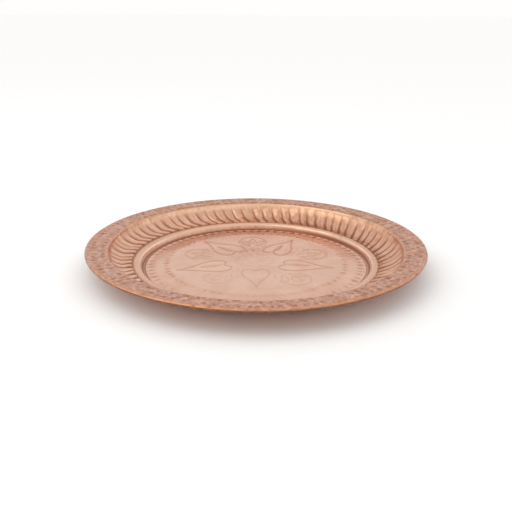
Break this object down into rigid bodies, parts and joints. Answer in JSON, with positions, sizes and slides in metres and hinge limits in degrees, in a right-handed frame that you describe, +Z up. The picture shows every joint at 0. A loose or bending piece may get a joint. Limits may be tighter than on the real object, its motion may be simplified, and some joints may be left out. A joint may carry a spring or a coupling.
{
  "type": "hammered copper tray",
  "caption": "Round hammered copper serving tray with a slightly tilted punched rim, a swirling fluted wall, a moulding ring and a chased flower on its flat base.",
  "frame": {"origin": "centre of the tray, level with the standing ring that it rests on", "axes": "+Z up, out of the open side of the tray; the tray is round, so +X and +Y are two level directions at right angles"},
  "size_m": [0.3338, 0.3338, 0.0239],
  "materials": {
    "copper": null,
    "wire": "plain drawn"
  },
  "bodies": {
    "root": {"tray_sheet": "copper", "edge_wire": "wire"}
  },
  "joints": []
}
